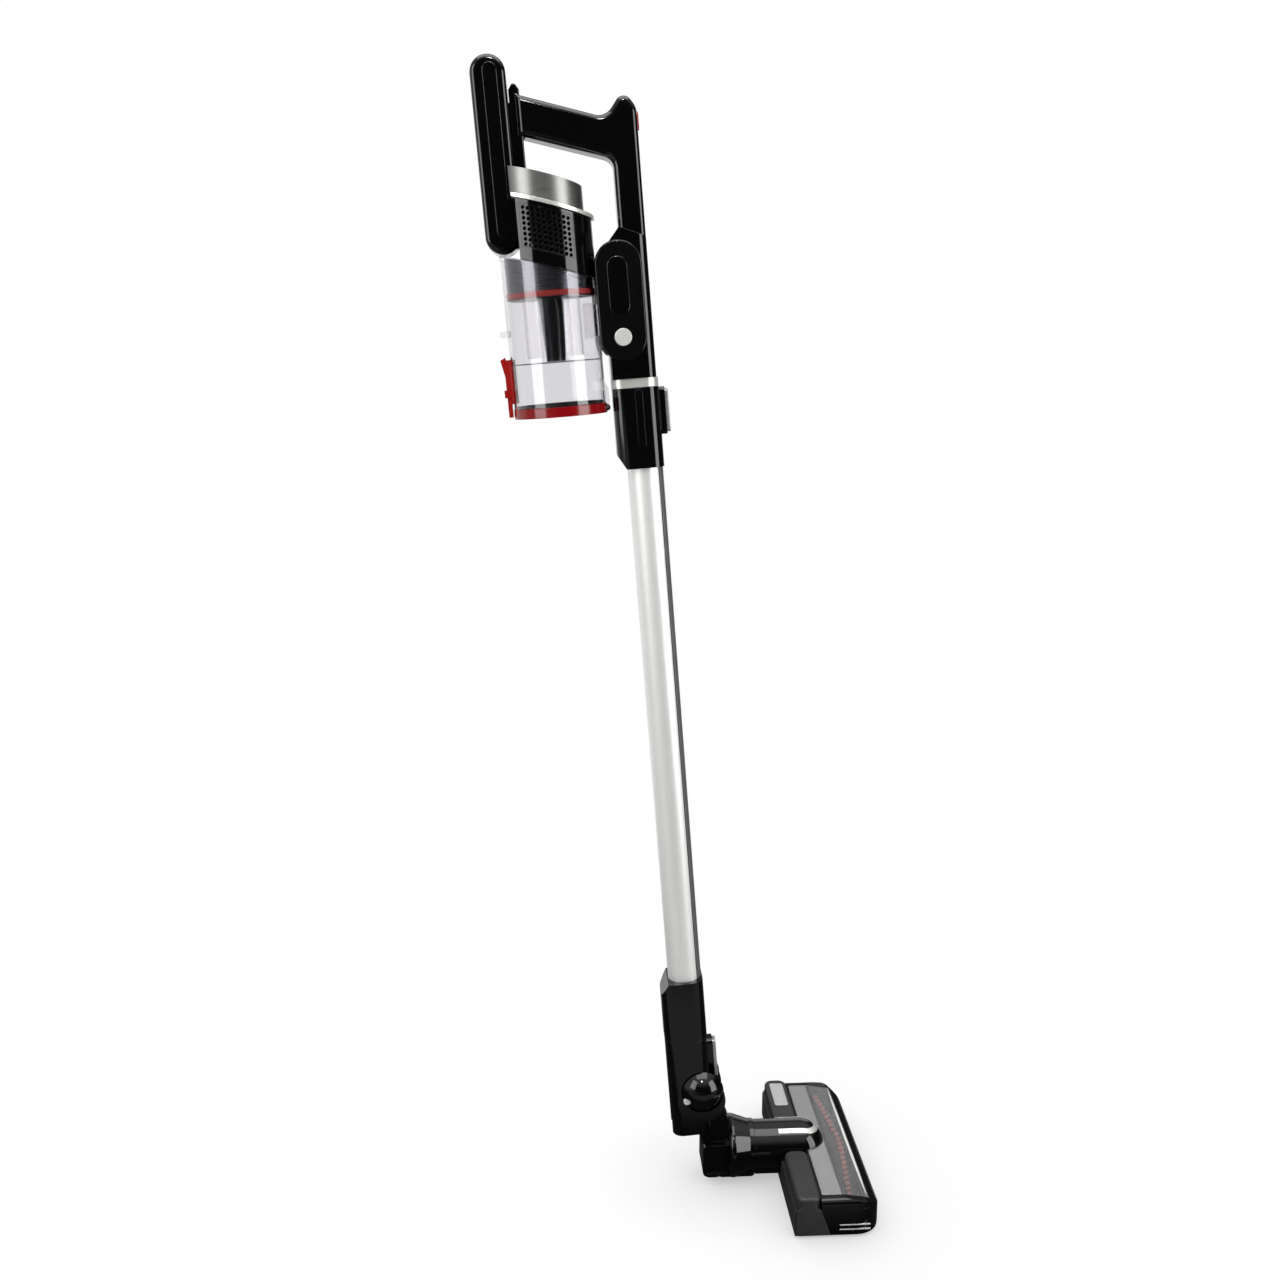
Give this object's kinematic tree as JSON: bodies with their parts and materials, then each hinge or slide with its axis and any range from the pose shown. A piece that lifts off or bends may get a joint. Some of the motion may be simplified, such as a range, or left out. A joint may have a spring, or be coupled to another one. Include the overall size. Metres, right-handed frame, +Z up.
{
  "type": "cordless stick vacuum cleaner",
  "caption": "Cordless stick vacuum cleaner with a clear cyclone dust bin, clip-on battery, straight metal wand, and a swivelling powered floor head.",
  "frame": {"origin": "centre of the bounding box in plan, on the floor", "axes": "+X forwards in the cleaning direction, +Y to the left, +Z up"},
  "size_m": [0.391, 0.23, 1.1304],
  "materials": {
    "gloss_black": "high gloss black ABS",
    "matte_charcoal": "matte dark charcoal",
    "inner_black": "moulded black inside part",
    "wand_aluminium": "satin anodised aluminium",
    "brushed_silver": "brushed silver",
    "bright_silver": "bright satin silver",
    "chrome_trim": "bright chrome",
    "red_abs": "translucent red",
    "dark_red_abs": "dark red",
    "red_rubber": "soft red seal",
    "clear_bin": "clear, slightly smoky",
    "grey_panel": "satin grey",
    "latch_grey": "satin grey",
    "grey_core": "dark grey",
    "black_rubber": "soft black",
    "red_bristle": "red nylon bristle",
    "steel": "plain steel",
    "motor_can": "plated can",
    "board_green": "circuit board",
    "cell_wrap": "wrapped cells",
    "filter_felt": "white filter felt"
  },
  "bodies": {
    "hand_unit": {"casing_right": "gloss_black", "casing_left": "gloss_black", "casing_screws": "steel", "side_plate_right": "matte_charcoal", "side_plate_left": "matte_charcoal", "control_board": "board_green", "wand_band": "bright_silver", "inlet_duct": "inner_black", "motor_housing": "gloss_black", "exhaust_grilles": "gloss_black", "fan_motor": "motor_can"},
    "power_button": {"power_button": "red_abs"},
    "release_right": {"release_button_right": "chrome_trim"},
    "release_left": {"release_button_left": "chrome_trim"},
    "battery": {"battery_case": "gloss_black", "battery_cells": "cell_wrap"},
    "filter_unit": {"filter_cap": "brushed_silver", "cap_flange": "bright_silver", "exhaust_filter": "filter_felt"},
    "fan": {"fan_wheel": "inner_black"},
    "bin": {"dust_bin": "clear_bin", "inlet_scoop": "clear_bin", "filter_cup": "inner_black", "bin_seal": "red_rubber", "cyclone_shroud": "clear_bin", "cyclone_core": "grey_core", "bin_pins": "steel"},
    "bin_lid": {"lid_ring": "dark_red_abs", "lid_plate": "clear_bin", "lid_seal": "black_rubber"},
    "bin_catch": {"bin_latch": "red_abs"},
    "wand": {"wand_tube": "wand_aluminium", "wand_lead": "black_rubber", "upper_collar": "gloss_black", "lower_collar": "gloss_black"},
    "wand_catch": {"upper_latch": "latch_grey"},
    "neck": {"neck_shell": "gloss_black", "pivot_covers": "gloss_black", "pivot_pins": "steel", "neck_caps": "chrome_trim"},
    "neck_catch": {"lower_latch": "latch_grey"},
    "elbow": {"elbow": "gloss_black"},
    "rear_wheels": {"rear_wheels": "black_rubber"},
    "floor_head": {"head_base": "matte_charcoal", "head_frame": "gloss_black", "rear_pad_right": "matte_charcoal", "rear_pad_left": "matte_charcoal", "clear_window": "clear_bin", "baffle_panel": "grey_panel", "barrel": "gloss_black", "barrel_trim": "bright_silver", "brush_motor": "motor_can", "drive_belt": "black_rubber", "roller_bearing": "steel", "glide_strip": "black_rubber"},
    "brush": {"brush_core": "grey_core", "brush_bristles": "red_bristle"},
    "pinion": {"motor_pinion": "steel"},
    "front_wheels": {"front_wheels": "black_rubber"},
    "end_cap": {"roller_end_cap": "gloss_black"}
  },
  "joints": [
    {"name": "power_press", "type": "slide", "parent": "hand_unit", "child": "power_button", "axis": [-0.9969, 0, -0.0785], "range_m": [0, 0.0025], "stiffness_N_per_m": 600},
    {"name": "release_press_right", "type": "slide", "parent": "hand_unit", "child": "release_right", "axis": [0, 1, 0], "range_m": [0, 0.003], "stiffness_N_per_m": 500},
    {"name": "release_press_left", "type": "slide", "parent": "hand_unit", "child": "release_left", "axis": [0, -1, 0], "range_m": [0, 0.003], "stiffness_N_per_m": 500},
    {"name": "battery_slide", "type": "slide", "parent": "hand_unit", "child": "battery", "axis": [-0.0785, 0, 0.9969], "range_m": [0, 0.08]},
    {"name": "filter_lift", "type": "slide", "parent": "hand_unit", "child": "filter_unit", "axis": [-0.0785, 0, 0.9969], "range_m": [0, 0.018]},
    {"name": "fan_spin", "type": "hinge", "parent": "hand_unit", "child": "fan", "pos_m": [-0.11376, 0, 0.96054], "axis": [-0.0785, 0, 0.9969], "continuous": true},
    {"name": "bin_slide", "type": "slide", "parent": "hand_unit", "child": "bin", "axis": [0.0785, 0, -0.9969], "range_m": [0, 0.05]},
    {"name": "lid_hinge", "type": "hinge", "parent": "bin", "child": "bin_lid", "pos_m": [-0.07301, 0, 0.8188], "axis": [0, -1, 0], "range_deg": [0, 85]},
    {"name": "bin_latch_press", "type": "hinge", "parent": "bin", "child": "bin_catch", "pos_m": [-0.16606, 0, 0.83104], "axis": [0, 1, 0], "range_deg": [0, 6], "stiffness_Nm_per_rad": 0.25},
    {"name": "wand_slide", "type": "slide", "parent": "hand_unit", "child": "wand", "axis": [0.0785, 0, -0.9969], "range_m": [0, 0.05]},
    {"name": "wand_latch_press", "type": "slide", "parent": "wand", "child": "wand_catch", "axis": [-0.9969, 0, -0.0785], "range_m": [0, 0.002], "stiffness_N_per_m": 600},
    {"name": "neck_slide", "type": "slide", "parent": "wand", "child": "neck", "axis": [0.0785, 0, -0.9969], "range_m": [0, 0.045]},
    {"name": "neck_latch_press", "type": "slide", "parent": "neck", "child": "neck_catch", "axis": [-0.9969, 0, -0.0785], "range_m": [0, 0.002], "stiffness_N_per_m": 600},
    {"name": "pitch", "type": "hinge", "parent": "neck", "child": "elbow", "pos_m": [0.02221, 0, 0.09956], "axis": [0, 1, 0], "range_deg": [0, 70]},
    {"name": "rear_wheel_spin", "type": "hinge", "parent": "elbow", "child": "rear_wheels", "pos_m": [0.041, 0, 0.01], "axis": [0, 1, 0], "continuous": true},
    {"name": "swivel", "type": "hinge", "parent": "elbow", "child": "floor_head", "pos_m": [0.08, 0, 0.034], "axis": [1, 0, 0], "range_deg": [-80, 80]},
    {"name": "brush_spin", "type": "hinge", "parent": "floor_head", "child": "brush", "pos_m": [0.172, 0, 0.0183], "axis": [0, 1, 0], "continuous": true},
    {"name": "pinion_spin", "type": "hinge", "parent": "floor_head", "child": "pinion", "pos_m": [0.122, 0.1, 0.0183], "axis": [0, 1, 0], "continuous": true},
    {"name": "front_wheel_spin", "type": "hinge", "parent": "floor_head", "child": "front_wheels", "pos_m": [0.144, 0, 0.005], "axis": [0, 1, 0], "continuous": true},
    {"name": "end_cap_slide", "type": "slide", "parent": "floor_head", "child": "end_cap", "axis": [0, -1, 0], "range_m": [0, 0.02]}
  ],
  "couplings": [
    {"joint": "pinion_spin", "follows": "brush_spin", "ratio": 1.6}
  ]
}
